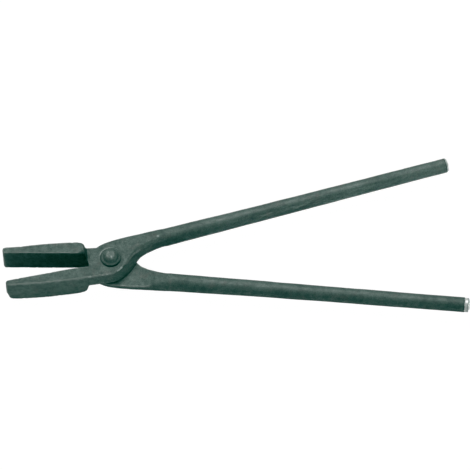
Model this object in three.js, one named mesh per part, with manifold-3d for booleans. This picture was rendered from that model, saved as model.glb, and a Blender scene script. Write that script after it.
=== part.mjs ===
// Blacksmith tongs, 400 mm, flat jaws, round reins.
//
// Two identical drop-forged halves cross at a half-lap joint and turn on one
// round-head rivet. Each half is one piece of steel: jaw, neck, boss and rein.
// The second half is the first one turned 180 degrees about the long axis.
//
// Frame: millimetres, +Z up along the rivet, jaws towards -X, reins towards
// +X. The origin is the centre of the flat on the rivet's set tail, so the
// whole part lies at z >= 0 and the lap plane is at z = PIVOT_Z.

import * as THREE from 'three';
import { LoftGeometry } from 'three/addons/geometries/LoftGeometry.js';
import { mergeVertices } from 'three/addons/utils/BufferGeometryUtils.js';
import Module from 'manifold-3d';

const wasm = await Module();
wasm.setup();

// ---------------------------------------------------------------- sizes (mm)

const JAW_TIP_X = -93.1;        // end of the jaws
const JAW_HALF_HEIGHT = 12.8;   // jaws are 25.6 high
const BOSS_HEIGHT = 11.6;       // thickness of each half at the rivet
const LAP_CLEARANCE = 0.15;     // each half stands this far off the lap plane

const REIN_END_X = 304.9;       // rim of the rein's cut end, on its centre line
const REIN_SLOPE = 0.195;       // the rein leaves the long axis at 11 degrees
const REIN_OFFSET = 12.9;       // its centre line passes this far off the rivet
const REIN_BOW = 0.4;           // and bows outward by this much next to the boss
const REIN_CAP = 2.2;           // the cut end is slightly domed

const RIVET_SHANK_R = 5.0;      // 10 mm rivet
const RIVET_GAP = 0.35;         // radial play between shank and holes
const RIVET_HEAD_R = 8.4;       // round head
const RIVET_HEAD_H = 6.0;
const RIVET_TAIL_R = 9.3;       // set tail, hammered lower and wider
const RIVET_TAIL_H = 4.2;
const RIVET_TAIL_FLAT_R = 4.6;  // flat left by the hammer
const RIVET_SEAT_GAP = 0.3;     // air under the head and the tail

// radius of the head by height over its underside
const RIVET_HEAD = [
  [0.5, 8.4], [1.0, 8.25], [1.45, 7.6], [1.85, 6.9], [2.3, 6.4], [3.1, 6.0], [3.9, 5.6],
  [4.7, 5.0], [5.25, 4.2], [5.65, 3.2], [5.9, 2.0], [6.0, 0.0],
];

const PIVOT_Z = BOSS_HEIGHT + RIVET_SEAT_GAP + RIVET_TAIL_H;

// ------------------------------------------------- the forging, by stations
//
// Sections of one half across the long axis. The half described here is the
// one whose boss lies above the lap plane: its jaw is on the -Y side and its
// rein on the +Y side. "near" is the -Y side of a section, "far" is +Y.
// Every table is [x, value], and values between rows follow a smooth curve.

// -Y outline where the piece is widest, at the parting line or the lap plane
const NEAR_WAIST = [
  [JAW_TIP_X, -19.4], [-88, -19.9], [-72, -20.5], [-57, -20.7], [-43, -20.4], [-29, -19.8], [-23, -19.4],
  [-18, -19.2], [-14, -19.0], [-9, -18.6], [-4, -18.5], [0, -18.2], [3, -17.4], [6, -16.2], [11.2, -13.0],
  [15.6, -8.9], [19, -4.8], [22.4, -0.1], [25, 3.2], [29, 6.5], [35.6, 10.6], [42, 13.8], [48, 15.4],
  [55, 16.5],
];

// -Y outline of the top face
const NEAR_TOP = [
  [JAW_TIP_X, -18.4], [-88, -18.9], [-72, -19.5], [-57, -19.7], [-43, -19.4], [-29, -18.7], [-23, -17.9],
  [-18, -17.5], [-11, -16.8], [-4, -16.5], [0, -15.9], [3, -14.8], [7.3, -12.2], [10, -9.6], [13.3, -5.8],
  [17, -0.9], [20.1, 2.9], [24, 6.2], [28, 8.6], [34, 11.3], [42, 14.0], [48, 15.4], [55, 16.5],
];

// +Y outline where the piece is widest
const FAR_WAIST = [
  [JAW_TIP_X, -14.2], [-30, -7.25], [-26, -6.85], [-22.6, -6.6], [-20.9, -6.2], [-20.2, -5.0], [-19.8, -2.5],
  [-19.6, 0], [-19.0, 5], [-17.4, 9.2], [-14.9, 12.9], [-11.2, 16.2], [-7.6, 18.3], [-3.7, 19.8], [1.5, 21.2],
  [7, 22.4], [11.9, 23.3], [17, 24.1], [23.7, 24.9], [32.5, 26.4], [41, 28.5], [48, 30.4], [55, 32.0],
];

// +Y outline of the top face
const FAR_TOP = [
  [JAW_TIP_X, -14.2], [-30, -7.25], [-26, -6.85], [-22.6, -6.6], [-20.8, -6.4], [-20.0, -5.6], [-19.4, -3.2],
  [-18.9, 0], [-18.0, 4], [-16.5, 7.4], [-14.1, 10.4], [-11.4, 12.4], [-7.4, 14.7], [-3.7, 16.3], [0, 17.4],
  [3.6, 18.4], [7.2, 19.2], [10.8, 19.9], [15.2, 20.9], [19.8, 21.9], [23.8, 22.9], [28.8, 24.4], [37.7, 27.2],
  [48, 30.4], [55, 32.0],
];

// height of the top face over the lap plane
const TOP_Z = [
  [JAW_TIP_X, JAW_HALF_HEIGHT], [-36, JAW_HALF_HEIGHT], [-29, 12.6], [-21, 12.0], [-14, BOSS_HEIGHT], [14, BOSS_HEIGHT],
  [20, 11.3], [26, 10.6], [32, 9.8], [39, 8.9], [47, 8.2], [55, 7.8],
];

// underside: full depth in the jaw, the lap face in the boss, round in the rein
const BOTTOM_Z = [
  [JAW_TIP_X, -JAW_HALF_HEIGHT], [-24.2, -JAW_HALF_HEIGHT], [-23.4, -12.4], [-22.8, -11.2], [-22.3, -9.2],
  [-21.9, -6.8], [-21.6, -4.4], [-21.2, -2.0], [-20.8, -0.4], [-20.4, LAP_CLEARANCE], [25.6, LAP_CLEARANCE],
  [27.6, -0.25], [30.4, -1.2], [34.2, -2.8], [39, -4.8], [44, -6.4], [49, -7.35], [55, -7.75],
];

// radius of the top edges on the -Y side, and on the +Y side
const EDGE_NEAR_TOP = [
  [JAW_TIP_X, 0.9], [-20, 1.0], [-8, 1.2], [4, 1.2], [10, 1.4], [16, 2.3], [22, 3.0], [32, 3.8], [42, 5.8],
  [49, 7.5],
];
const EDGE_FAR_TOP = [
  [JAW_TIP_X, 0.6], [-24, 0.8], [-19, 1.6], [-14, 3.0], [-6, 3.6], [14, 3.8], [24, 4.0], [34, 4.7], [42, 6.2],
  [49, 7.5],
];
// and of the bottom edges
const EDGE_NEAR_BOTTOM = [
  [JAW_TIP_X, 1.1], [-29, 1.2], [-26.5, 2.0], [-25, 2.4], [-23.5, 3.8], [-22, 4.2], [-21, 1.0], [-20.4, 0.5],
  [25, 0.5], [33, 1.6], [41, 4.2], [48, 7.2],
];
const EDGE_FAR_BOTTOM = [
  [JAW_TIP_X, 0.6], [-30, 0.8], [-27.5, 1.8], [-25.5, 3.6], [-24, 5.4], [-22, 5.6], [-21, 1.0], [-20.4, 0.5],
  [25, 0.5], [33, 1.8], [41, 4.4], [48, 7.2],
];

// the rein's radius from where it is round to its end
const REIN_RADIUS = [
  [48, 7.7], [60, 7.55], [73, 7.45], [87, 7.35], [100, 7.2], [127, 6.97], [181, 6.68], [235, 6.52], [307, 6.35],
];
const ROUND_FROM_X = 51;        // sections are round and square to the rein from here on
const TILT_FROM_X = 30;         // they start to turn towards it here

// how much the last few millimetres of the jaw draw in all round
const TIP_DRAW_IN = [[JAW_TIP_X, 1.35], [JAW_TIP_X + 0.4, 0.65], [JAW_TIP_X + 1.1, 0.2], [-90.5, 0.03], [-89, 0], [0, 0]];

// ------------------------------------------------------------------ helpers

// Monotone cubic through the rows of a table.
function at(table, x) {
  const n = table.length;
  if (x <= table[0][0]) return table[0][1];
  if (x >= table[n - 1][0]) return table[n - 1][1];
  let i = 0;
  while (x > table[i + 1][0]) i++;
  const slope = (k) => (table[k + 1][1] - table[k][1]) / (table[k + 1][0] - table[k][0]);
  const tangent = (k) => {
    if (k === 0) return slope(0);
    if (k === n - 1) return slope(n - 2);
    const a = slope(k - 1), b = slope(k);
    return a * b <= 0 ? 0 : 2 * a * b / (a + b);
  };
  const h = table[i + 1][0] - table[i][0];
  const t = (x - table[i][0]) / h;
  const t2 = t * t, t3 = t2 * t;
  return (2 * t3 - 3 * t2 + 1) * table[i][1] + (t3 - 2 * t2 + t) * h * tangent(i)
    + (3 * t2 - 2 * t3) * table[i + 1][1] + (t3 - t2) * h * tangent(i + 1);
}

const smooth = (a, b, x) => {
  const t = Math.min(1, Math.max(0, (x - a) / (b - a)));
  return t * t * (3 - 2 * t);
};

const reinCentre = (x) => REIN_OFFSET + REIN_SLOPE * x + REIN_BOW * (1 - smooth(65, 130, x));
const REIN_ANGLE = Math.atan(REIN_SLOPE);

// A rounded corner from p to q about corner c: a conic, exactly a quarter
// circle when the corner is square.
function corner(points, p, c, q, steps) {
  const w = Math.SQRT1_2;
  for (let k = 0; k <= steps; k++) {
    const t = k / steps;
    const a = (1 - t) * (1 - t), b = 2 * w * t * (1 - t), d = t * t;
    const s = a + b + d;
    points.push([(a * p[0] + b * c[0] + d * q[0]) / s, (a * p[1] + b * c[1] + d * q[1]) / s]);
  }
}

const towards = (from, to, distance) => {
  const dy = to[0] - from[0], dz = to[1] - from[1], len = Math.hypot(dy, dz);
  return [from[0] + dy * distance / len, from[1] + dz * distance / len];
};

// One cross-section of the forged half at x, as [y, z] points in order round
// it, anticlockwise seen from +X.
function bossSection(x, steps) {
  const inset = at(TIP_DRAW_IN, x);
  const zt = at(TOP_Z, x) - inset;
  const zb = at(BOTTOM_Z, x) + (x < -50 ? inset : 0);
  const n0 = at(NEAR_WAIST, x) + inset, n1 = at(NEAR_TOP, x) + inset;
  const f0 = at(FAR_WAIST, x) - inset, f1 = at(FAR_TOP, x) - inset;
  const zw = Math.max(0, zb + 1.2);               // height of the widest line
  const down = Math.max(0, (zw - zb) / zt);       // draft below it, as above it
  const nb = n0 + (n1 - n0) * (zb < -1.2 ? down : 0);
  const fb = f0 + (f1 - f0) * (zb < -1.2 ? down : 0);
  const half = (zt - zw) * 0.96, low = (zw - zb) * 0.96;
  const NT = [n1, zt], FT = [f1, zt], NB = [nb, zb], FB = [fb, zb], N = [n0, zw], F = [f0, zw];
  const wide = (f1 - n1) * 0.48;
  const rnt = Math.min(at(EDGE_NEAR_TOP, x), half, wide), rft = Math.min(at(EDGE_FAR_TOP, x), half, wide);
  const rnb = Math.min(at(EDGE_NEAR_BOTTOM, x), low, wide), rfb = Math.min(at(EDGE_FAR_BOTTOM, x), low, wide);
  const points = [];
  corner(points, towards(NB, N, rnb), NB, towards(NB, FB, rnb), steps);
  corner(points, towards(FB, NB, rfb), FB, towards(FB, F, rfb), steps);
  points.push(F);
  corner(points, towards(FT, F, rft), FT, towards(FT, NT, rft), steps);
  corner(points, towards(NT, FT, rnt), NT, towards(NT, N, rnt), steps);
  points.push(N);
  return points;
}

// A round section of radius r, with its points in the same order.
function roundSection(y, r, steps) {
  const points = [];
  const k = 0.96, s = r * k;
  const C = [[y - r, -r], [y + r, -r], [y + r, r], [y - r, r]];
  corner(points, [y - r, -r + s], C[0], [y - r + s, -r], steps);
  corner(points, [y + r - s, -r], C[1], [y + r, -r + s], steps);
  points.push([y + r, 0]);
  corner(points, [y + r, r - s], C[2], [y + r - s, r], steps);
  corner(points, [y - r + s, r], C[3], [y - r, r - s], steps);
  points.push([y - r, 0]);
  return points;
}

// ---------------------------------------------------------------- the half

const STATIONS = [
  JAW_TIP_X, JAW_TIP_X + 0.4, JAW_TIP_X + 1.1, -90.5, -86, -72, -57, -43, -34, -29, -27, -25.8, -24.8, -24.2, -23.7,
  -23.1, -22.7, -22.3, -21.9, -21.6, -21.2, -20.8, -20.4, -20.1, -19.8, -19.5, -19.2, -18.9, -18.5, -18, -17.4, -16.7,
  -15.9, -14.9, -13.6, -12.2, -10.5, -8.5, -6.2, -3.7, -1, 1.5, 4, 6.5, 9, 11.2, 13.3, 15.4, 17.4, 19.3, 21, 22.6,
  24, 25.6, 27.2, 29, 31, 33, 35.6, 38.5, 42, 45, 48, 50, 55, 62, 73, 87, 104, 127, 155, 188, 225, 265, REIN_END_X,
];
const CORNER_STEPS = 4;

function sectionAt(x) {
  const tilt = REIN_ANGLE * smooth(TILT_FROM_X, ROUND_FROM_X, x);
  const yc = reinCentre(x);
  const roundness = smooth(44, ROUND_FROM_X, x);
  const boss = x < ROUND_FROM_X ? bossSection(x, CORNER_STEPS) : null;
  const round = x > 44 ? roundSection(yc, at(REIN_RADIUS, x), CORNER_STEPS) : null;
  const source = boss && round
    ? boss.map((p, i) => [p[0] + (round[i][0] - p[0]) * roundness, p[1] + (round[i][1] - p[1]) * roundness])
    : boss || round;
  return source.map(([y, z]) => {
    const u = y - yc;
    return new THREE.Vector3(x - Math.sin(tilt) * u, yc + Math.cos(tilt) * u, z);
  });
}

function endCap() {
  const rows = [];
  const r = at(REIN_RADIUS, REIN_END_X);
  const cx = REIN_END_X, cy = reinCentre(REIN_END_X);
  for (const deg of [28, 55, 75]) {
    const a = deg * Math.PI / 180;
    const along = REIN_CAP * Math.sin(a);
    rows.push(roundSection(0, r * Math.cos(a), CORNER_STEPS).map(([u, z]) => new THREE.Vector3(
      cx + Math.cos(REIN_ANGLE) * along - Math.sin(REIN_ANGLE) * u,
      cy + Math.sin(REIN_ANGLE) * along + Math.cos(REIN_ANGLE) * u, z)));
  }
  return rows;
}

const halfSections = [...STATIONS.map(sectionAt), ...endCap()];

// ------------------------------------------------------------ closed solids

function toSolid(geometry) {
  let g = new THREE.BufferGeometry().copy(geometry);
  g.deleteAttribute('normal');
  g.deleteAttribute('uv');
  g = mergeVertices(g, 1e-3);
  const index = g.index.array, keep = [];
  for (let i = 0; i < index.length; i += 3) {
    const [a, b, c] = [index[i], index[i + 1], index[i + 2]];
    if (a !== b && b !== c && c !== a) keep.push(a, b, c);
  }
  return new wasm.Manifold(new wasm.Mesh({
    numProp: 3,
    vertProperties: new Float32Array(g.attributes.position.array),
    triVerts: new Uint32Array(keep),
  }));
}

function toGeometry(solid) {
  const mesh = solid.getMesh();
  const g = new THREE.BufferGeometry();
  g.setAttribute('position', new THREE.BufferAttribute(new Float32Array(mesh.vertProperties), 3));
  g.setIndex(new THREE.BufferAttribute(new Uint32Array(mesh.triVerts), 1));
  g.computeVertexNormals();
  return g;
}

// A turned piece about Z from an [r, z] profile that starts and ends on the axis.
const turned = (profile, segments) => {
  const g = new THREE.LatheGeometry(profile.map(([r, z]) => new THREE.Vector2(r, z)), segments);
  g.rotateX(Math.PI / 2);
  return g;
};

const halfBody = toSolid(new LoftGeometry(halfSections, { capStart: true, capEnd: true }));

const HOLE_R = RIVET_SHANK_R + RIVET_GAP;
const holeGeometry = new THREE.CylinderGeometry(HOLE_R, HOLE_R, 60, 40);
holeGeometry.rotateX(Math.PI / 2);
const drilled = toGeometry(halfBody.subtract(toSolid(holeGeometry)));

// ---------------------------------------------------------------- the rivet

function rivetProfile() {
  const top = BOSS_HEIGHT + RIVET_SEAT_GAP, bottom = -top;
  const p = [];
  // flat of the tail, its crowned shoulder and rim
  p.push([0, bottom - RIVET_TAIL_H], [RIVET_TAIL_FLAT_R, bottom - RIVET_TAIL_H]);
  const shoulder = 5;
  for (let i = 1; i <= shoulder; i++) {
    const a = (i / shoulder) * Math.PI / 2;
    p.push([
      RIVET_TAIL_FLAT_R + (RIVET_TAIL_R - RIVET_TAIL_FLAT_R) * Math.sin(a),
      bottom - 0.7 - (RIVET_TAIL_H - 0.7) * Math.cos(a),
    ]);
  }
  p.push([RIVET_TAIL_R - 0.15, bottom]);
  // shank
  p.push([RIVET_SHANK_R, bottom], [RIVET_SHANK_R, top]);
  // round head: a low rim, then the dome
  p.push([RIVET_HEAD_R - 0.1, top]);
  for (const [h, r] of RIVET_HEAD) p.push([r, top + h]);
  return p;
}

const rivetBody = toSolid(turned(rivetProfile(), 40));

// ---------------------------------------------------------------- materials

const forgedSteel = (tint) => new THREE.MeshStandardMaterial({ color: tint, roughness: 0.62, metalness: 0.75 });

function piece(name, geometry, material) {
  const mesh = new THREE.Mesh(geometry, material);
  mesh.name = name;
  return mesh;
}

// ----------------------------------------------------------------- assembly

const tongs = new THREE.Group();
tongs.name = 'blacksmith_tongs';

const joint = new THREE.Group();
joint.position.z = PIVOT_Z;
tongs.add(joint);

const topHalf = piece('top_half', drilled, forgedSteel(0x4b5654));
joint.add(topHalf);

const bottomHalf = piece('bottom_half', drilled.clone(), forgedSteel(0x465150));
bottomHalf.rotation.x = Math.PI;
joint.add(bottomHalf);

const rivet = piece('rivet', toGeometry(rivetBody), forgedSteel(0x525d5b));
joint.add(rivet);

export default tongs;
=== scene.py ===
"""Blacksmith tongs, 400 mm: the looks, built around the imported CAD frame.

Each half is lofted again here from the same stations as the CAD, about five
times finer, then given what a drop hammer and a forge fire leave behind:
uneven faces, scale pits, nicked edges and the pressed seat round the rivet.
Metres, +Z up, jaws towards -X.
"""

import math

import bmesh
import bpy
import numpy as np
from mathutils import Matrix, Vector, noise


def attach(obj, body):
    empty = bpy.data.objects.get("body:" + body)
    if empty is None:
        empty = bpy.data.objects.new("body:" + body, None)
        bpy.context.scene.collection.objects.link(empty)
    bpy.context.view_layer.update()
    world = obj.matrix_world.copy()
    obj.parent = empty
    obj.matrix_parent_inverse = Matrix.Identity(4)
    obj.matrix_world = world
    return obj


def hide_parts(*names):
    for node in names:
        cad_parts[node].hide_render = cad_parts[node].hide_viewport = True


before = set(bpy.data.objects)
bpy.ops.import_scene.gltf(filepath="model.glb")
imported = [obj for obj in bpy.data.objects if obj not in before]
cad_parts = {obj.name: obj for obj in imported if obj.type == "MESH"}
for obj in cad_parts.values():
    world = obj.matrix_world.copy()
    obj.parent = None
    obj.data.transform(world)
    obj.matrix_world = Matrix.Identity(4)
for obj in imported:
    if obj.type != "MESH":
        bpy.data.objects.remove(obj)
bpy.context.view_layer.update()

MM = 0.001

# ---------------------------------------------------------------- sizes (mm)

JAW_TIP_X = -93.1
JAW_HALF_HEIGHT = 12.8
BOSS_HEIGHT = 11.6
LAP_CLEARANCE = 0.15
REIN_END_X = 304.9
REIN_SLOPE = 0.195
REIN_OFFSET = 12.9
REIN_BOW = 0.4
REIN_CAP = 2.2
RIVET_SHANK_R = 5.0
RIVET_GAP = 0.35
RIVET_HEAD_R = 8.4
RIVET_HEAD_H = 6.0
RIVET_TAIL_R = 9.3
RIVET_TAIL_H = 4.2
RIVET_TAIL_FLAT_R = 4.6
RIVET_SEAT_GAP = 0.3
RIVET_HEAD = [  # radius of the head by height over its underside
    (0.5, 8.4), (1.0, 8.25), (1.45, 7.6), (1.85, 6.9), (2.3, 6.4), (3.1, 6.0), (3.9, 5.6),
    (4.7, 5.0), (5.25, 4.2), (5.65, 3.2), (5.9, 2.0), (6.0, 0.0)]
PIVOT_Z = BOSS_HEIGHT + RIVET_SEAT_GAP + RIVET_TAIL_H

NEAR_WAIST = [
    (JAW_TIP_X, -19.4), (-88, -19.9), (-72, -20.5), (-57, -20.7), (-43, -20.4), (-29, -19.8), (-23, -19.4),
    (-18, -19.2), (-14, -19.0), (-9, -18.6), (-4, -18.5), (0, -18.2), (3, -17.4), (6, -16.2), (11.2, -13.0), (15.6, -8.9),
    (19, -4.8), (22.4, -0.1), (25, 3.2), (29, 6.5), (35.6, 10.6), (42, 13.8), (48, 15.4), (55, 16.5)]
NEAR_TOP = [
    (JAW_TIP_X, -18.4), (-88, -18.9), (-72, -19.5), (-57, -19.7), (-43, -19.4), (-29, -18.7), (-23, -17.9),
    (-18, -17.5), (-11, -16.8), (-4, -16.5), (0, -15.9), (3, -14.8), (7.3, -12.2), (10, -9.6), (13.3, -5.8),
    (17, -0.9), (20.1, 2.9), (24, 6.2), (28, 8.6), (34, 11.3), (42, 14.0), (48, 15.4), (55, 16.5)]
FAR_WAIST = [
    (JAW_TIP_X, -14.2), (-30, -7.25), (-26, -6.85), (-22.6, -6.6), (-20.9, -6.2), (-20.2, -5.0), (-19.8, -2.5),
    (-19.6, 0), (-19.0, 5), (-17.4, 9.2), (-14.9, 12.9), (-11.2, 16.2), (-7.6, 18.3), (-3.7, 19.8), (1.5, 21.2),
    (7, 22.4), (11.9, 23.3), (17, 24.1), (23.7, 24.9), (32.5, 26.4), (41, 28.5), (48, 30.4), (55, 32.0)]
FAR_TOP = [
    (JAW_TIP_X, -14.2), (-30, -7.25), (-26, -6.85), (-22.6, -6.6), (-20.8, -6.4), (-20.0, -5.6), (-19.4, -3.2),
    (-18.9, 0), (-18.0, 4), (-16.5, 7.4), (-14.1, 10.4), (-11.4, 12.4), (-7.4, 14.7), (-3.7, 16.3), (0, 17.4),
    (3.6, 18.4), (7.2, 19.2), (10.8, 19.9), (15.2, 20.9), (19.8, 21.9), (23.8, 22.9), (28.8, 24.4), (37.7, 27.2),
    (48, 30.4), (55, 32.0)]
TOP_Z = [
    (JAW_TIP_X, JAW_HALF_HEIGHT), (-36, JAW_HALF_HEIGHT), (-29, 12.6), (-21, 12.0), (-14, BOSS_HEIGHT),
    (14, BOSS_HEIGHT), (20, 11.3), (26, 10.6), (32, 9.8), (39, 8.9), (47, 8.2), (55, 7.8)]
BOTTOM_Z = [
    (JAW_TIP_X, -JAW_HALF_HEIGHT), (-24.2, -JAW_HALF_HEIGHT), (-23.4, -12.4), (-22.8, -11.2), (-22.3, -9.2),
    (-21.9, -6.8), (-21.6, -4.4), (-21.2, -2.0), (-20.8, -0.4), (-20.4, LAP_CLEARANCE), (25.6, LAP_CLEARANCE),
    (27.6, -0.25), (30.4, -1.2), (34.2, -2.8), (39, -4.8), (44, -6.4), (49, -7.35), (55, -7.75)]
EDGE_NEAR_TOP = [(JAW_TIP_X, 0.9), (-20, 1.0), (-8, 1.2), (4, 1.2), (10, 1.4), (16, 2.3), (22, 3.0), (32, 3.8), (42, 5.8), (49, 7.5)]
EDGE_FAR_TOP = [(JAW_TIP_X, 0.6), (-24, 0.8), (-19, 1.6), (-14, 3.0), (-6, 3.6), (14, 3.8), (24, 4.0), (34, 4.7), (42, 6.2), (49, 7.5)]
EDGE_NEAR_BOTTOM = [(JAW_TIP_X, 1.1), (-29, 1.2), (-26.5, 2.0), (-25, 2.4), (-23.5, 3.8), (-22, 4.2), (-21, 1.0), (-20.4, 0.5), (25, 0.5), (33, 1.6), (41, 4.2), (48, 7.2)]
EDGE_FAR_BOTTOM = [(JAW_TIP_X, 0.6), (-30, 0.8), (-27.5, 1.8), (-25.5, 3.6), (-24, 5.4), (-22, 5.6), (-21, 1.0), (-20.4, 0.5), (25, 0.5), (33, 1.8), (41, 4.4), (48, 7.2)]
REIN_RADIUS = [(48, 7.7), (60, 7.55), (73, 7.45), (87, 7.35), (100, 7.2), (127, 6.97), (181, 6.68), (235, 6.52), (307, 6.35)]
ROUND_FROM_X = 51
TILT_FROM_X = 30
TIP_DRAW_IN = [(JAW_TIP_X, 1.35), (JAW_TIP_X + 0.4, 0.65), (JAW_TIP_X + 1.1, 0.2), (-90.5, 0.03), (-89, 0), (0, 0)]


# ------------------------------------------------------------------ helpers

def at(table, x):
    """Monotone cubic through the rows of a table."""
    n = len(table)
    if x <= table[0][0]:
        return table[0][1]
    if x >= table[n - 1][0]:
        return table[n - 1][1]
    i = 0
    while x > table[i + 1][0]:
        i += 1

    def slope(k):
        return (table[k + 1][1] - table[k][1]) / (table[k + 1][0] - table[k][0])

    def tangent(k):
        if k == 0:
            return slope(0)
        if k == n - 1:
            return slope(n - 2)
        a, b = slope(k - 1), slope(k)
        return 0 if a * b <= 0 else 2 * a * b / (a + b)

    h = table[i + 1][0] - table[i][0]
    t = (x - table[i][0]) / h
    t2, t3 = t * t, t * t * t
    return ((2 * t3 - 3 * t2 + 1) * table[i][1] + (t3 - 2 * t2 + t) * h * tangent(i)
            + (3 * t2 - 2 * t3) * table[i + 1][1] + (t3 - t2) * h * tangent(i + 1))


def smooth(a, b, x):
    t = np.clip((x - a) / (b - a), 0, 1)   # b may be below a: then it rises as x falls
    return t * t * (3 - 2 * t)


def rein_centre(x):
    return REIN_OFFSET + REIN_SLOPE * x + REIN_BOW * (1 - float(smooth(65, 130, x)))


REIN_ANGLE = math.atan(REIN_SLOPE)


def corner(points, p, c, q, steps):
    w = math.sqrt(0.5)
    for k in range(steps + 1):
        t = k / steps
        a, b, d = (1 - t) * (1 - t), 2 * w * t * (1 - t), t * t
        s = a + b + d
        points.append(((a * p[0] + b * c[0] + d * q[0]) / s, (a * p[1] + b * c[1] + d * q[1]) / s))


def towards(a, b, distance):
    dy, dz = b[0] - a[0], b[1] - a[1]
    n = math.hypot(dy, dz)
    return (a[0] + dy * distance / n, a[1] + dz * distance / n)


def boss_section(x, steps):
    inset = at(TIP_DRAW_IN, x)
    zt = at(TOP_Z, x) - inset
    zb = at(BOTTOM_Z, x) + (inset if x < -50 else 0)
    n0, n1 = at(NEAR_WAIST, x) + inset, at(NEAR_TOP, x) + inset
    f0, f1 = at(FAR_WAIST, x) - inset, at(FAR_TOP, x) - inset
    zw = max(0, zb + 1.2)
    down = max(0, (zw - zb) / zt)
    nb = n0 + (n1 - n0) * (down if zb < -1.2 else 0)
    fb = f0 + (f1 - f0) * (down if zb < -1.2 else 0)
    half, low = (zt - zw) * 0.96, (zw - zb) * 0.96
    NT, FT, NB, FB, N, F = (n1, zt), (f1, zt), (nb, zb), (fb, zb), (n0, zw), (f0, zw)
    wide = (f1 - n1) * 0.48
    rnt, rft = min(at(EDGE_NEAR_TOP, x), half, wide), min(at(EDGE_FAR_TOP, x), half, wide)
    rnb, rfb = min(at(EDGE_NEAR_BOTTOM, x), low, wide), min(at(EDGE_FAR_BOTTOM, x), low, wide)
    points = []
    corner(points, towards(NB, N, rnb), NB, towards(NB, FB, rnb), steps)
    corner(points, towards(FB, NB, rfb), FB, towards(FB, F, rfb), steps)
    points.append(F)
    corner(points, towards(FT, F, rft), FT, towards(FT, NT, rft), steps)
    corner(points, towards(NT, FT, rnt), NT, towards(NT, N, rnt), steps)
    points.append(N)
    return np.array(points)


def round_section(y, r, steps):
    points = []
    s = r * 0.96
    corner(points, (y - r, -r + s), (y - r, -r), (y - r + s, -r), steps)
    corner(points, (y + r - s, -r), (y + r, -r), (y + r, -r + s), steps)
    points.append((y + r, 0))
    corner(points, (y + r, r - s), (y + r, r), (y + r - s, r), steps)
    corner(points, (y - r + s, r), (y - r, r), (y - r, r - s), steps)
    points.append((y - r, 0))
    return np.array(points)


# How many mesh points each stretch of a section gets: four corners, the
# underside, the two halves of each flank, and the top face, which is finest.
C, BOTTOM, FLANK, TOP = 8, 28, 8, 88
RING = 4 * C + BOTTOM + 4 * FLANK + TOP


def resampled(points, steps, evenness):
    """RING points round a section: by stretch in the boss and jaw, evenly spaced in the rein."""
    closed = np.vstack([points, points[:1]])
    along = np.concatenate([[0], np.cumsum(np.hypot(*np.diff(closed, axis=0).T))])
    total = along[-1]
    k = steps + 1
    # where each stretch starts, as an index into the section's points
    marks = [(0, steps, C), (steps, k, BOTTOM), (k, k + steps, C), (k + steps, 2 * k, FLANK), (2 * k, 2 * k + 1, FLANK),
             (2 * k + 1, 2 * k + 1 + steps, C), (2 * k + 1 + steps, 3 * k + 1, TOP), (3 * k + 1, 3 * k + 1 + steps, C),
             (3 * k + 1 + steps, 4 * k + 1, FLANK), (4 * k + 1, 4 * k + 2, FLANK)]
    s = []
    for a, b, n in marks:
        s.extend(along[a] + (along[b] - along[a]) * np.arange(n) / n)
    s = np.array(s)
    even = total * np.arange(RING) / RING
    s = s + (even - s) * evenness
    return np.stack([np.interp(s, along, closed[:, 0]), np.interp(s, along, closed[:, 1])], 1)


def spaced(a, b, step):
    n = max(1, round((b - a) / step))
    return [a + (b - a) * k / n for k in range(n)]


STATIONS = (spaced(JAW_TIP_X, -91.8, 0.13) + spaced(-91.8, -90, 0.3) + spaced(-90, -28, 0.7) + spaced(-28, -19, 0.2)
            + spaced(-19, -12.5, 0.3) + spaced(-12.5, 12.5, 0.4) + spaced(12.5, 55, 0.65)
            + spaced(55, 300, 1.35) + spaced(300, REIN_END_X, 0.35) + [REIN_END_X])


def section_at(x):
    steps = 16
    tilt = REIN_ANGLE * float(smooth(TILT_FROM_X, ROUND_FROM_X, x))
    yc = rein_centre(x)
    roundness = float(smooth(44, ROUND_FROM_X, x))
    boss = boss_section(x, steps) if x < ROUND_FROM_X else None
    rod = round_section(yc, at(REIN_RADIUS, x), steps) if x > 44 else None
    if boss is not None and rod is not None:
        source = boss + (rod - boss) * roundness
    else:
        source = boss if boss is not None else rod
    p = resampled(source, steps, float(smooth(34, 58, x)))
    u, z = p[:, 0] - yc, p[:, 1]
    return np.stack([x - math.sin(tilt) * u, yc + math.cos(tilt) * u, z], 1)


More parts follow.
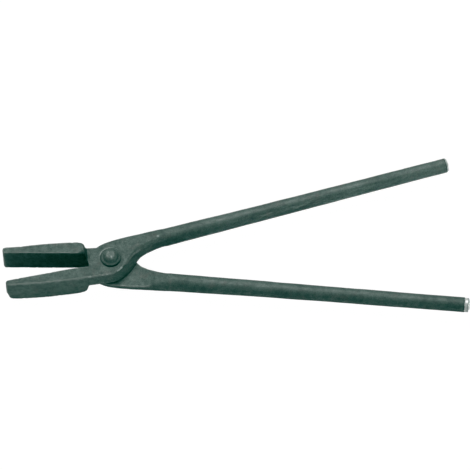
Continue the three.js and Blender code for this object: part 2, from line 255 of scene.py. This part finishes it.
def half_mesh():
    """Points (mm), quads and which faces are the rein's cut end, of one half above the lap plane."""
    rows = [section_at(x) for x in STATIONS]
    first, last = rows[0], rows[-1]
    # jaw tip: rings that shrink onto the middle of the end face
    mid = np.array([first[:, 0].min(), first[:, 1].mean(), 0.0])
    tip = []
    for f in (0.12, 0.3, 0.48, 0.64, 0.78, 0.89, 0.96):
        ring = mid + (first - mid) * f
        tip.append(ring)
    rows = tip + rows
    # rein end: a small sheared burr, a bevel, then the domed face
    r = at(REIN_RADIUS, REIN_END_X)
    centre = np.array([REIN_END_X, rein_centre(REIN_END_X), 0.0])
    axis = np.array([math.cos(REIN_ANGLE), math.sin(REIN_ANGLE), 0.0])
    flat = last - centre
    dome_from = len(rows) - 1
    for deg in (9, 18, 27, 36, 45, 54, 62, 69, 75, 80, 84, 87):
        a = math.radians(deg)
        rows.append(centre + axis * (REIN_CAP * math.sin(a)) + flat * math.cos(a))
    end = centre + axis * REIN_CAP
    verts = np.vstack(rows + [mid[None], end[None]])
    n_rows = len(rows)
    k = np.arange(RING)
    nxt = (k + 1) % RING
    quads = []
    for i in range(n_rows - 1):
        a, b = i * RING, (i + 1) * RING
        quads.append(np.stack([a + k, a + nxt, b + nxt, b + k], 1))
    quads = np.vstack(quads)
    tri_tip = np.stack([np.full(RING, n_rows * RING), nxt, k], 1)
    last_row = (n_rows - 1) * RING
    tri_end = np.stack([np.full(RING, n_rows * RING + 1), last_row + k, last_row + nxt], 1)
    face_row = np.repeat(np.arange(n_rows - 1), RING)
    return verts, quads, tri_tip, tri_end, face_row, dome_from


def make_mesh(name, verts_mm, faces):
    me = bpy.data.meshes.new(name)
    me.from_pydata([tuple(v) for v in (verts_mm * MM)], [], faces)
    me.validate()
    me.update()
    return me


def vertex_arrays(me):
    n = len(me.vertices)
    co = np.zeros(n * 3)
    me.vertices.foreach_get("co", co)
    no = np.zeros(n * 3)
    me.vertex_normals.foreach_get("vector", no)
    return co.reshape(-1, 3) / MM, no.reshape(-1, 3)


def edge_pairs(me):
    e = np.zeros(len(me.edges) * 2, np.int64)
    me.edges.foreach_get("vertices", e)
    return e.reshape(-1, 2)


def curvature(me):
    """Sharpest convex and sharpest hollow curvature (1/mm) at each vertex."""
    co, no = vertex_arrays(me)
    e = edge_pairs(me)
    d = co[e[:, 1]] - co[e[:, 0]]
    dn = no[e[:, 1]] - no[e[:, 0]]
    length2 = np.maximum((d * d).sum(1), 1e-6)
    c = (d * dn).sum(1) / length2
    ok = length2 > 0.004
    hi, lo = np.zeros(len(co)), np.zeros(len(co))
    for col in (0, 1):
        np.maximum.at(hi, e[ok, col], c[ok])
        np.minimum.at(lo, e[ok, col], c[ok])
    return hi, -lo


def blurred(me, values, rounds):
    e = edge_pairs(me)
    count = np.zeros(len(values))
    for col in (0, 1):
        np.add.at(count, e[:, col], 1)
    v = values.copy()
    for _ in range(rounds):
        s = np.zeros(len(v))
        np.add.at(s, e[:, 0], v[e[:, 1]])
        np.add.at(s, e[:, 1], v[e[:, 0]])
        v = 0.45 * v + 0.55 * s / np.maximum(count, 1)
    return v


def give(me, name, values):
    a = me.attributes.get(name) or me.attributes.new(name, "FLOAT", "POINT")
    a.data.foreach_set("value", np.asarray(values, np.float32))


def field(points, period, offset):
    """Perlin noise of the points (mm), about -1 to 1, features about one period across."""
    out = np.empty(len(points))
    q = (points + offset) / period
    f = noise.noise
    for i, p in enumerate(q):
        out[i] = f(p)
    return out


def pits(points, cell, share, offset):
    """Round shallow pits: 0 away from them, 1 in the middle; one in `share` of the cells has one."""
    out = np.zeros(len(points))
    q = (points + offset) / cell
    for i, p in enumerate(q):
        d, at_ = noise.voronoi(p)
        c = at_[0]
        h = math.sin(c[0] * 12.9898 + c[1] * 78.233 + c[2] * 37.719) * 43758.5453
        h -= math.floor(h)
        if h < share:
            size = 0.16 + 0.3 * h / share
            out[i] = max(0.0, 1 - (d[0] / size) ** 2)
    return out


# ---------------------------------------------------------------- materials

def node(nt, kind, **inputs):
    n = nt.nodes.new(kind)
    for k, v in inputs.items():
        if k in ("operation", "blend_type", "data_type", "attribute_name", "feature", "noise_dimensions", "interpolation_type",
                 "voronoi_dimensions", "clamp", "invert", "use_clamp"):
            setattr(n, k, v)
    return n


def math_node(nt, op, a, b=None, c=None, clamp=False):
    n = nt.nodes.new("ShaderNodeMath")
    n.operation = op
    n.use_clamp = clamp
    for i, v in enumerate((a, b, c)):
        if v is None:
            continue
        if isinstance(v, (int, float)):
            n.inputs[i].default_value = v
        else:
            nt.links.new(v, n.inputs[i])
    return n.outputs[0]


def noise_node(nt, vector, scale, detail=3.0, rough=0.5, distortion=0.0):
    n = nt.nodes.new("ShaderNodeTexNoise")
    n.inputs["Scale"].default_value = scale
    n.inputs["Detail"].default_value = detail
    n.inputs["Roughness"].default_value = rough
    n.inputs["Distortion"].default_value = distortion
    nt.links.new(vector, n.inputs["Vector"])
    return n.outputs["Fac"]


def ramp(nt, value, lo, hi, a=0.0, b=1.0, kind="SMOOTHSTEP"):
    n = nt.nodes.new("ShaderNodeMapRange")
    n.interpolation_type = kind
    n.inputs["From Min"].default_value = lo
    n.inputs["From Max"].default_value = hi
    n.inputs["To Min"].default_value = a
    n.inputs["To Max"].default_value = b
    nt.links.new(value, n.inputs["Value"])
    return n.outputs["Result"]


def mix(nt, fac, a, b, kind="MIX"):
    n = nt.nodes.new("ShaderNodeMix")
    n.data_type = "RGBA"
    n.blend_type = kind
    n.clamp_factor = True
    for sock, v in ((n.inputs[0], fac), (n.inputs[6], a), (n.inputs[7], b)):
        if isinstance(v, (int, float)):
            sock.default_value = v
        elif isinstance(v, tuple):
            sock.default_value = (*v, 1.0)
        else:
            nt.links.new(v, sock)
    return n.outputs[2]


def attribute(nt, name):
    n = nt.nodes.new("ShaderNodeAttribute")
    n.attribute_name = name
    return n.outputs["Fac"]


def new_material(name):
    m = bpy.data.materials.new(name)
    m.use_nodes = True
    nt = m.node_tree
    nt.nodes.clear()
    out = nt.nodes.new("ShaderNodeOutputMaterial")
    bsdf = nt.nodes.new("ShaderNodeBsdfPrincipled")
    nt.links.new(bsdf.outputs[0], out.inputs["Surface"])
    tc = nt.nodes.new("ShaderNodeTexCoord")
    return m, nt, bsdf, tc.outputs["Object"]


def moved(nt, vector, offset, scale=(1, 1, 1)):
    n = nt.nodes.new("ShaderNodeMapping")
    n.inputs["Location"].default_value = offset
    n.inputs["Scale"].default_value = scale
    nt.links.new(vector, n.inputs["Vector"])
    return n.outputs[0]


def bump(nt, height, distance, normal=None, strength=1.0):
    n = nt.nodes.new("ShaderNodeBump")
    n.inputs["Strength"].default_value = strength
    n.inputs["Distance"].default_value = distance
    nt.links.new(height, n.inputs["Height"])
    if normal is not None:
        nt.links.new(normal, n.inputs["Normal"])
    return n.outputs[0]


def forged_steel(name, offset, tone=1.0, rough=0.66):
    """Steel under fire scale: a blue-green black oxide film, mottled, worn through to grey along the edges."""
    m, nt, bsdf, where = new_material(name)
    p = moved(nt, where, offset)
    broad = noise_node(nt, p, 42, 2, 0.5)                # tone drifts over 25 mm
    mottle = noise_node(nt, p, 230, 5, 0.62, 0.4)        # 4 mm blotches
    grain = noise_node(nt, p, 1150, 3, 0.6)              # the scale's own grain
    patch = noise_node(nt, moved(nt, p, (0.31, 0.17, 0.05)), 120, 4, 0.6)
    edge = attribute(nt, "edge")
    hollow = attribute(nt, "hollow")

    t = tone
    dark = (0.097 * t, 0.117 * t, 0.108 * t)
    light = (0.135 * t, 0.163 * t, 0.150 * t)
    warm = (0.155 * t, 0.148 * t, 0.140 * t)
    bare = (0.300, 0.315, 0.300)
    col = mix(nt, ramp(nt, mottle, 0.34, 0.66), dark, light)
    col = mix(nt, ramp(nt, patch, 0.52, 0.70, 0, 0.55), col, warm)
    col = mix(nt, 1.0, col, mix(nt, ramp(nt, broad, 0.3, 0.7), (0.86, 0.86, 0.86), (1.12, 1.12, 1.12)), "MULTIPLY")
    col = mix(nt, 1.0, col, mix(nt, ramp(nt, grain, 0.32, 0.68), (0.80, 0.80, 0.80), (1.20, 1.20, 1.20)), "MULTIPLY")
    # scale flaked off in tiny spots
    v = nt.nodes.new("ShaderNodeTexVoronoi")
    v.inputs["Scale"].default_value = 240
    nt.links.new(p, v.inputs["Vector"])
    spot = math_node(nt, "MULTIPLY", ramp(nt, v.outputs["Distance"], 0.16, 0.05),
                     ramp(nt, noise_node(nt, moved(nt, p, (0.7, 0.2, 0.4)), 90, 2), 0.56, 0.66), clamp=True)
    col = mix(nt, math_node(nt, "MULTIPLY", spot, 0.5), col, bare)
    # edge wear, broken up by the mottle and the grain; the edge attribute also carries painted highlights on the seat's
    # lip and along the boss's top edge
    wear_and_highlight_level = math_node(nt, "ADD", math_node(nt, "MULTIPLY", edge, 0.95),
                       math_node(nt, "ADD", math_node(nt, "MULTIPLY", mottle, 0.9), math_node(nt, "MULTIPLY", grain, 0.5)))
    wear_and_highlight = math_node(nt, "MULTIPLY", ramp(nt, wear_and_highlight_level, 0.98, 1.55), ramp(nt, edge, 0.04, 0.4))
    col = mix(nt, math_node(nt, "MULTIPLY", wear_and_highlight, 0.62), col, bare)
    # painted shade: the hollow attribute darkens creases, pits, the crescent in the rivet seat and the line at the rein
    # ends
    col = mix(nt, math_node(nt, "MULTIPLY", hollow, 0.7, clamp=True), col, (0.02, 0.034, 0.031))
    # painted glints: bright spots on edges, the rein and the rivet crown, and an arc on the lit side of the seat's lip;
    # also made less rough
    glint_and_polish = math_node(nt, "MULTIPLY", attribute(nt, "glint_and_polish"), ramp(nt, grain, 0.3, 0.6, 0.6, 1.0), clamp=True)
    col = mix(nt, glint_and_polish, col, (0.66, 0.73, 0.70))
    # the reins are rubbed smoother by hands, and their colour is lifted a little as a painted sheen
    held_and_sheen = attribute(nt, "rein")
    col = mix(nt, 1.0, col, mix(nt, held_and_sheen, (1.0, 1.0, 1.0), (1.09, 1.09, 1.10)), "MULTIPLY")
    nt.links.new(col, bsdf.inputs["Base Color"])

    r = math_node(nt, "ADD", ramp(nt, mottle, 0.3, 0.7, rough + 0.08, rough - 0.06), ramp(nt, grain, 0.3, 0.7, 0.05, -0.05))
    r = math_node(nt, "SUBTRACT", r, math_node(nt, "MULTIPLY", held_and_sheen, 0.10))
    r = math_node(nt, "SUBTRACT", r, math_node(nt, "MULTIPLY", glint_and_polish, 0.2))
    r = math_node(nt, "SUBTRACT", r, math_node(nt, "MULTIPLY", wear_and_highlight, 0.14), clamp=True)
    nt.links.new(r, bsdf.inputs["Roughness"])
    bsdf.inputs["Metallic"].default_value = 0.10
    bsdf.inputs["Specular IOR Level"].default_value = 0.5

    n = bump(nt, mottle, 0.00016)
    n = bump(nt, grain, 0.00005, n)
    n = bump(nt, spot, 0.00008, n, 0.6)
    nt.links.new(n, bsdf.inputs["Normal"])
    return m


def bare_steel(name):
    """The sheared ends of the reins: clean metal, with the saw's and file's fine lines."""
    m, nt, bsdf, where = new_material(name)
    lines = noise_node(nt, moved(nt, where, (0, 0, 0), (1, 1, 9)), 420, 4, 0.6)
    blot = noise_node(nt, where, 330, 3, 0.5)
    col = mix(nt, ramp(nt, blot, 0.35, 0.65), (0.86, 0.90, 0.88), (0.95, 0.965, 0.96))
    col = mix(nt, ramp(nt, lines, 0.55, 0.75, 0, 0.2), col, (0.60, 0.65, 0.63))
    col = mix(nt, ramp(nt, attribute(nt, "rim"), 0.25, 0.85), col, (0.50, 0.55, 0.535))
    nt.links.new(col, bsdf.inputs["Base Color"])
    nt.links.new(ramp(nt, lines, 0.3, 0.7, 0.32, 0.46), bsdf.inputs["Roughness"])
    bsdf.inputs["Metallic"].default_value = 0.45
    n = bump(nt, lines, 0.00003)
    nt.links.new(n, bsdf.inputs["Normal"])
    return m


# ------------------------------------------------------------- the two halves

def cut_hole(ob):
    """Drills the rivet hole."""
    bpy.ops.mesh.primitive_cylinder_add(vertices=96, radius=(RIVET_SHANK_R + RIVET_GAP) * MM, depth=0.06,
                                        location=(0, 0, PIVOT_Z * MM))
    drill = bpy.context.object
    mod = ob.modifiers.new("hole", "BOOLEAN")
    mod.operation = "DIFFERENCE"
    mod.solver = "EXACT"
    mod.object = drill
    dg = bpy.context.evaluated_depsgraph_get()
    done = bpy.data.meshes.new_from_object(ob.evaluated_get(dg), preserve_all_data_layers=True, depsgraph=dg)
    ob.modifiers.clear()
    ob.data = done
    bpy.data.objects.remove(drill)


def forge_half(name, upper, offset, steel, bare):
    verts, quads, tri_tip, tri_end, face_row, dome_from = half_mesh()
    faces = quads.tolist() + tri_tip.tolist() + tri_end.tolist()
    me = make_mesh(name, verts, faces)
    co, no = vertex_arrays(me)
    convex, hollow = curvature(me)
    edge = blurred(me, smooth(0.22, 0.85, convex), 3)
    # painted shade in the hollow creases
    painted_shade = blurred(me, smooth(0.15, 0.6, hollow), 3)

    x, y, z = co.T
    r = np.hypot(x, y)
    off = np.array(offset, float)
    # what the dies and the hammer leave: long waves, facets, then scale texture
    waves = 0.15 * field(co, 24, off) + 0.075 * field(co, 9, off + 31)
    fine = 0.05 * field(co, 3.4, off + 77) + 0.025 * field(co, 1.7, off + 11)
    pit = pits(co, 3.6, 0.30, off + 5)
    nick = np.maximum(0, field(co, 2.6, off + 51) - 0.12) * edge
    jaw_or_boss = 1 - smooth(44, 60, x)
    d = waves + fine - 0.10 * pit * (0.45 + 0.55 * jaw_or_boss) - 0.5 * nick * jaw_or_boss

    # the lap face was machined, and nothing may stand proud of it
    lap = ((z < LAP_CLEARANCE + 0.8) & (no[:, 2] < -0.3) & (x > -21.5)) * (1 - smooth(26.5, 36, x))
    d = d + (-0.04 + 0.02 * fine - d) * lap
    # the top of the boss was pressed flat by the rivet set: a seat, then a raised ring
    top = (no[:, 2] > 0.5) & (x > -30) & (x < 30)
    calm = np.where(top, 0.3 + 0.7 * smooth(11, 15, r), 1.0)
    d = d * calm
    wobble = 0.22 * field(np.stack([x * 3.1 / np.maximum(r, 1), y * 3.1 / np.maximum(r, 1), z * 0], 1), 1.3, off + 9)
    rr = r + wobble
    shaded_side = 0.5 + 0.5 * (-0.35 * x - 0.93 * y) / np.maximum(r, 1)
    seat = -(0.14 + 0.36 * shaded_side) * (1 - smooth(9.0, 9.7, rr)) + (0.30 - 0.15 * shaded_side) * np.exp(-((rr - 10.2) / 0.5) ** 2)
    d = d + np.where(top & (r < 14), seat, 0)
    # painted highlight: the seat's lip is made lighter on the side towards the key light
    lit_side = np.clip((-0.55 * x + 0.85 * y) / np.maximum(r, 1), 0, 1)
    edge = np.maximum(edge, np.where(top & (r < 14), (0.12 + 0.62 * lit_side) * np.exp(-((rr - 10.3) / 0.55) ** 2), 0))
    # painted highlight: a bright band along the boss's top edge beside the shoulder, laid into the edge wear
    shoulder = np.exp(-((y - np.interp(x, (4, 13, 20, 28), (-14.5, -6.2, 2.6, 8.6))) / 1.5) ** 2) * smooth(2, 9, x) * (1 - smooth(24, 34, x))
    edge = np.maximum(edge, np.where(no[:, 2] > 0.35, 0.75 * shoulder, 0))
    # painted shadow: a dark crescent in the seat on the side away from the key light
    painted_shade = np.maximum(painted_shade, np.where(top & (r < 14), (0.15 + 0.85 * shaded_side) * (1 - smooth(8.9, 9.6, rr)), 0))
    # painted shade in the scale pits
    painted_shade = np.clip(painted_shade + 0.25 * pit, 0, 1)

    # painted glints: bright spots along the top edges and on the rein, and an arc on the lit side of the seat's lip
    glint_and_polish = np.where(top & (r < 14), 0.30 * lit_side ** 2 * np.exp(-((rr - 10.2) / 0.45) ** 2), 0)
    if upper:
        for sx, sy, size, amount in ((8.6, -11.0, 0.9, 1.3), (7.3, -12.0, 0.7, 0.9), (6.2, -12.8, 0.65, 0.8), (5.0, -13.5, 0.6, 0.6),
                                     (-19.4, -17.4, 0.8, 0.8), (-20.8, -17.7, 0.6, 0.45), (-8.6, -16.7, 0.65, 0.6), (-4.6, -16.4, 0.65, 0.55),
                                     (42.9, 19.8, 0.8, 0.8), (-46, -19.4, 0.6, 0.35), (-63, -19.7, 0.5, 0.3), (31, 9.6, 0.6, 0.3)):
            d2 = (x - sx) ** 2 + (y - sy) ** 2
            glint_and_polish = np.maximum(glint_and_polish, np.where(no[:, 2] > 0.45, amount * np.exp(-d2 / size ** 2), 0))

    # the rein's end stays clean: no forge texture on the sheared face
    row_of = np.minimum(np.arange(len(co)) // RING, 10 ** 9)
    on_dome = (row_of > dome_from) & (np.arange(len(co)) < (len(co) - 2))
    on_dome[-1] = True
    tool = 0.03 * field(co, 2.2, off + 3)
    d = np.where(on_dome, tool, d)
    near_rim = smooth(REIN_END_X - 3.5, REIN_END_X - 0.5, x) * (~on_dome)
    d = d * (1 - near_rim) + near_rim * (0.04 * field(co, 1.5, off + 13))

    rim = np.zeros(len(co))
    for k, row in enumerate(range(dome_from, dome_from + 13)):
        rim[row * RING:(row + 1) * RING] = max(0.0, 1 - k / 3.2)
    ground_from = REIN_END_X - (0.4 if upper else 2.7)   # where the end was ground bright
    along = (x - REIN_END_X) * math.cos(REIN_ANGLE) + (y - rein_centre(REIN_END_X)) * math.sin(REIN_ANGLE) + REIN_END_X
    ragged = along + 0.18 * field(co, 2.5, off + 21)
    d = d - 0.30 * smooth(ground_from - 0.1, ground_from + 0.5, ragged) * (along < REIN_END_X + 0.02)
    # painted shade: a dark line where the scale meets the ground end
    painted_shade = np.maximum(painted_shade, 0.9 * np.exp(-((ragged - ground_from + 0.35) / 0.45) ** 2) * (x > 280))
    co = co + no * d[:, None]
    # the two jaws were dressed by hand at the tip, each a little differently
    at_tip = 1 - smooth(-93.5, -76, x)
    if upper:
        co[:, 0] += 0.19 * np.maximum(0, -z - 1) * (1 - smooth(-93.5, -84, x))
        co[:, 1] += 0.45 * at_tip * smooth(-15.5, -18.5, y) * smooth(2, -6, z)
    else:
        co[:, 0] -= 0.8 * (1 - smooth(-93.5, -80, x))
        co[:, 1] -= 1.15 * at_tip * smooth(-15.5, -18.5, y)
        co[:, 1] *= -1
        co[:, 2] *= -1
    co[:, 2] += PIVOT_Z
    me.vertices.foreach_set("co", (co * MM).ravel())
    me.update()
    give(me, "edge", edge)
    give(me, "hollow", painted_shade)
    give(me, "glint_and_polish", glint_and_polish)
    give(me, "rim", rim)
    give(me, "rein", smooth(45, 95, x))
    me.materials.append(steel)
    me.materials.append(bare)
    index = np.zeros(len(me.polygons), np.int32)
    n_quads = len(quads)
    quad_along = ragged[np.array(quads)].mean(1)
    index[:n_quads][(face_row >= dome_from) | (quad_along > ground_from)] = 1
    index[n_quads + RING:] = 1
    me.polygons.foreach_set("material_index", index)
    me.polygons.foreach_set("use_smooth", np.ones(len(me.polygons), bool))
    ob = bpy.data.objects.new(name, me)
    bpy.context.scene.collection.objects.link(ob)
    cut_hole(ob)
    return ob


forged_upper = forged_steel("forged_steel_upper", (0.113, 0.241, 0.057), 1.0)
forged_lower = forged_steel("forged_steel_lower", (0.211, 0.083, 0.119), 1.0)
bare_end = bare_steel("bare_steel_end")

upper = forge_half("upper_half_forging", True, (11.3, 47.9, 5.1), forged_upper, bare_end)
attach(upper, "upper_leg"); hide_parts("top_half")
lower = forge_half("lower_half_forging", False, (211.7, 3.3, 95.9), forged_lower, bare_end)
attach(lower, "lower_leg"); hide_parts("bottom_half")


# ----------------------------------------------------------------- the rivet

def rivet_profile():
    """(r, z, kind) from the tail's middle to the crown; kind 0 tail, 1 shank, 2 head."""
    top = BOSS_HEIGHT + RIVET_SEAT_GAP
    bottom = -top
    p = []
    for i in range(12):
        p.append((RIVET_TAIL_FLAT_R * i / 11, bottom - RIVET_TAIL_H, 0))
    n = 14
    for i in range(1, n + 1):
        a = (i / n) * math.pi / 2
        p.append((RIVET_TAIL_FLAT_R + (RIVET_TAIL_R - RIVET_TAIL_FLAT_R) * math.sin(a),
                  bottom - 0.7 - (RIVET_TAIL_H - 0.7) * math.cos(a), 0))
    p += [(RIVET_TAIL_R, bottom - 0.35, 0), (RIVET_TAIL_R - 0.1, bottom - 0.1, 0), (RIVET_TAIL_R - 0.35, bottom, 0)]
    for i in range(1, 7):
        p.append((RIVET_TAIL_R - 0.35 + (RIVET_SHANK_R - RIVET_TAIL_R + 0.35) * i / 6, bottom, 0))
    for i in range(1, 12):
        p.append((RIVET_SHANK_R, bottom + (top - bottom) * i / 12, 1))
    p.append((RIVET_SHANK_R, top, 1))
    for i in range(1, 7):
        p.append((RIVET_SHANK_R + (RIVET_HEAD_R - 0.35 - RIVET_SHANK_R) * i / 6, top - 0.10 * i / 6, 2))
    p += [(RIVET_HEAD_R - 0.1, top + 0.05, 2), (RIVET_HEAD_R, top + 0.25, 2), (RIVET_HEAD_R, top + 0.5, 2)]
    # a blunt dome with a flattened crown
    n = 34
    for i in range(1, n):
        h = 0.5 + (RIVET_HEAD_H - 0.5) * math.sin((i / n) * math.pi / 2)
        p.append((at(RIVET_HEAD, h), top + h, 2))
    return p


def forge_rivet(name, steel):
    prof = rivet_profile()
    seg = 128
    verts, faces = [], []
    rows = []
    for r, z, kind in prof:
        if r < 1e-6:
            rows.append(None)
            continue
        rows.append(len(verts))
        for k in range(seg):
            a = 2 * math.pi * k / seg
            verts.append((r * math.cos(a), r * math.sin(a), z))
    south = len(verts)
    verts.append((0, 0, prof[0][1]))
    north = len(verts)
    verts.append((0, 0, prof[-1][1]))
    starts = [s for s in rows if s is not None]
    for a, b in zip(starts[:-1], starts[1:]):
        for k in range(seg):
            j = (k + 1) % seg
            faces.append((a + k, a + j, b + j, b + k))
    for k in range(seg):
        j = (k + 1) % seg
        faces.append((south, starts[0] + j, starts[0] + k))
        faces.append((north, starts[-1] + k, starts[-1] + j))
    me = make_mesh(name, np.array(verts, float), faces)
    co, no = vertex_arrays(me)
    x, y, z = co.T
    r = np.hypot(x, y)
    top = BOSS_HEIGHT + RIVET_SEAT_GAP
    head = smooth(top + 0.2, top + 1.0, z)
    tail = 1 - smooth(-top - 1.0, -top - 0.2, z)
    off = np.array((61.0, 17.0, 5.0))
    d = head * (0.13 * field(co, 4.2, off) + 0.07 * field(co, 2.0, off + 9) + 0.03 * field(co, 1.0, off + 19))
    # the crown: struck flat by the set, a little off centre, with a rolled rim and a shallow dimple
    rc = np.hypot(x + 0.25, y - 0.15)
    crown = (z > top + 3.5)
    d = d + np.where(crown, 0.10 * np.exp(-((rc - 3.2) / 0.6) ** 2) - 0.16 * np.exp(-(rc / 1.5) ** 2), 0)
    d = d + tail * (0.15 * field(co, 3.6, off + 40) + 0.06 * field(co, 1.6, off + 60))
    flat = (z < -top - RIVET_TAIL_H + 0.02)
    d = np.where(flat, np.minimum(0, -0.05 + 0.05 * field(co, 2.4, off + 70)) * smooth(0, 3.0, RIVET_TAIL_FLAT_R - r + 0.5), d)
    under = (np.abs(no[:, 2]) > 0.7) & (r > RIVET_SHANK_R - 0.1) & (np.abs(z) < top + 0.15)
    d = np.where(under | ((head == 0) & (tail == 0)), 0, d)
    me_edge_hi, me_hollow = curvature(me)
    edge = blurred(me, smooth(0.28, 0.9, me_edge_hi), 3)
    broken = 0.6 + 0.6 * field(co, 1.5, off + 33)
    edge = 0.5 * edge
    edge = np.maximum(edge, np.where(crown, broken * 0.75 * np.exp(-((rc - 3.2) / 0.8) ** 2) + 0.25 * (rc < 2.6), 0))
    # painted highlight: a bright spot on the crown and a fainter bright ring round its rim, both also made less rough
    glint_and_polish = np.where(crown, 0.55 * np.exp(-((x - 0.45) / 0.75) ** 2 - ((y + 2.9) / 1.35) ** 2), 0)
    glint_and_polish = np.maximum(glint_and_polish, np.where(crown, 0.2 * broken * np.exp(-((rc - 3.2) / 0.6) ** 2), 0))
    co = co + no * d[:, None]
    co[:, 2] = np.maximum(co[:, 2], -top - RIVET_TAIL_H)
    co[:, 2] += PIVOT_Z
    me.vertices.foreach_set("co", (co * MM).ravel())
    me.update()
    give(me, "edge", edge)
    # painted shade: darkens the shank inside the halves and the crease where the skirt meets the domed cap
    give(me, "hollow", np.clip(0.6 * (1 - head) * (1 - tail) + 0.5 * head * np.exp(-((r - 6.5) / 0.4) ** 2), 0, 1))
    give(me, "glint_and_polish", glint_and_polish)
    me.materials.append(steel)
    me.polygons.foreach_set("use_smooth", np.ones(len(me.polygons), bool))
    ob = bpy.data.objects.new(name, me)
    bpy.context.scene.collection.objects.link(ob)
    return ob


rivet_steel = forged_steel("rivet_steel_scale", (0.4, 0.02, 0.3), 1.0, 0.60)
rivet = forge_rivet("rivet_forging", rivet_steel)
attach(rivet, "lower_leg"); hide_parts("rivet")


# -------------------------------------------------------------------- studio

def one_sided(nt, shader, out):
    """Seen from underneath, the floor isn't there."""
    geo = nt.nodes.new("ShaderNodeNewGeometry")
    clear = nt.nodes.new("ShaderNodeBsdfTransparent")
    pick = nt.nodes.new("ShaderNodeMixShader")
    nt.links.new(geo.outputs["Backfacing"], pick.inputs[0])
    nt.links.new(shader, pick.inputs[1])
    nt.links.new(clear.outputs[0], pick.inputs[2])
    nt.links.new(pick.outputs[0], out.inputs["Surface"])


bpy.ops.mesh.primitive_plane_add(size=14, location=(0.1, 0, -0.0002))
floor = bpy.context.object
floor.name = "floor"
fm = bpy.data.materials.new("pale_floor")
fm.use_nodes = True
fnt = fm.node_tree
fnt.nodes.clear()
f_out = fnt.nodes.new("ShaderNodeOutputMaterial")
f_diff = fnt.nodes.new("ShaderNodeBsdfDiffuse")
f_diff.inputs["Color"].default_value = (0.80, 0.80, 0.80, 1)
f_glow = fnt.nodes.new("ShaderNodeEmission")
f_glow.inputs["Color"].default_value = (1, 1, 1, 1)
f_glow.inputs["Strength"].default_value = 1.06
f_path = fnt.nodes.new("ShaderNodeLightPath")
f_mix = fnt.nodes.new("ShaderNodeMixShader")
fnt.links.new(math_node(fnt, "MULTIPLY", f_path.outputs["Is Camera Ray"], 0.94), f_mix.inputs[0])
fnt.links.new(f_diff.outputs[0], f_mix.inputs[1])
fnt.links.new(f_glow.outputs[0], f_mix.inputs[2])
one_sided(fnt, f_mix.outputs[0], f_out)
floor.data.materials.append(fm)

world = bpy.data.worlds.new("studio")
bpy.context.scene.world = world
world.use_nodes = True
wnt = world.node_tree
wnt.nodes.clear()
w_out = wnt.nodes.new("ShaderNodeOutputWorld")
w_seen = wnt.nodes.new("ShaderNodeBackground")
w_seen.inputs["Color"].default_value = (1, 1, 1, 1)
w_seen.inputs["Strength"].default_value = 1.0
w_fill = wnt.nodes.new("ShaderNodeBackground")
w_fill.inputs["Color"].default_value = (0.85, 0.96, 0.93, 1)
w_fill.inputs["Strength"].default_value = 0.075
w_path = wnt.nodes.new("ShaderNodeLightPath")
w_mix = wnt.nodes.new("ShaderNodeMixShader")
wnt.links.new(w_path.outputs["Is Camera Ray"], w_mix.inputs[0])
wnt.links.new(w_fill.outputs[0], w_mix.inputs[1])
wnt.links.new(w_seen.outputs[0], w_mix.inputs[2])
wnt.links.new(w_mix.outputs[0], w_out.inputs["Surface"])


def area_light(name, place, target, size, watts, colour):
    data = bpy.data.lights.new(name, "AREA")
    data.shape = "RECTANGLE"
    data.size, data.size_y = size
    data.energy = watts
    data.color = colour
    ob = bpy.data.objects.new(name, data)
    bpy.context.scene.collection.objects.link(ob)
    ob.location = place
    ob.rotation_euler = (Vector(target) - Vector(place)).to_track_quat("-Z", "Y").to_euler()
    ob.visible_camera = False
    return ob


key = area_light("softbox_overhead", (-0.25, 1.2, 2.5), (0.10, 0.0, 0.0), (1.8, 1.3), 57, (1.0, 0.99, 0.975))
fill = area_light("front_reflector", (1.5, -1.3, 0.45), (0.14, 0.0, 0.02), (1.2, 0.5), 2.0, (0.97, 1.0, 0.98))
jaw_fill = area_light("jaw_reflector", (-0.12, -1.9, 0.07), (-0.085, -0.02, 0.014), (0.16, 0.10), 0.022, (0.97, 1.0, 0.98))
jaw_fill.data.spread = math.radians(9)
rein_fill = area_light("rein_reflector", (1.9, -0.6, 0.20), (0.23, 0.056, 0.016), (0.16, 0.10), 0.042, (0.97, 1.0, 0.98))
rein_fill.data.spread = math.radians(8)

# -------------------------------------------------------------------- camera

AZ, EL, ROLL = math.radians(-5.3197), math.radians(58.6950), math.radians(-0.4690)
DISTANCE, SCALE, CX, CY = 3.0, 1.14101, 0.1085941, 0.0251371
d = Vector((math.sin(AZ) * math.cos(EL), -math.cos(AZ) * math.cos(EL), math.sin(EL)))
right = Vector((math.cos(AZ), math.sin(AZ), 0))
up = d.cross(right)
target = Vector((0, 0, PIVOT_Z * MM)) + right * CX + up * CY
cam_data = bpy.data.cameras.new("camera")
cam = bpy.data.objects.new("camera", cam_data)
bpy.context.scene.collection.objects.link(cam)
R = right * math.cos(ROLL) + up * math.sin(ROLL)
U = -right * math.sin(ROLL) + up * math.cos(ROLL)
m = Matrix((R, U, d)).transposed().to_4x4()
m.translation = target + d * DISTANCE
cam.matrix_world = m
cam_data.sensor_width = 36
cam_data.lens = SCALE * DISTANCE * 1000 * 36 / 470
cam_data.clip_start, cam_data.clip_end = 0.1, 30
bpy.context.scene.camera = cam
bpy.context.scene.view_settings.view_transform = "Standard"
bpy.context.scene.view_settings.look = "None"
# the grade: reds start a little above black, so shadows go blue-green and whites stay white
grade = bpy.context.scene.view_settings
grade.use_curve_mapping = True
RED = ((0.010, 0.0), (0.023, 0.0040), (0.034, 0.0090), (0.046, 0.0172), (0.060, 0.0325), (0.125, 0.096), (1.0, 1.0))
BLUE = ((0.004, 0.0), (0.020, 0.0150), (0.050, 0.0445), (0.120, 0.1145), (1.0, 1.0))
for channel, line in ((0, RED), (2, BLUE)):
    curve = grade.curve_mapping.curves[channel]
    curve.points[0].location = line[0]
    curve.points[-1].location = line[-1]
    for x_in, x_out in line[1:-1]:
        curve.points.new(x_in, x_out)
    for p in curve.points:
        p.handle_type = "VECTOR"
grade.curve_mapping.update()
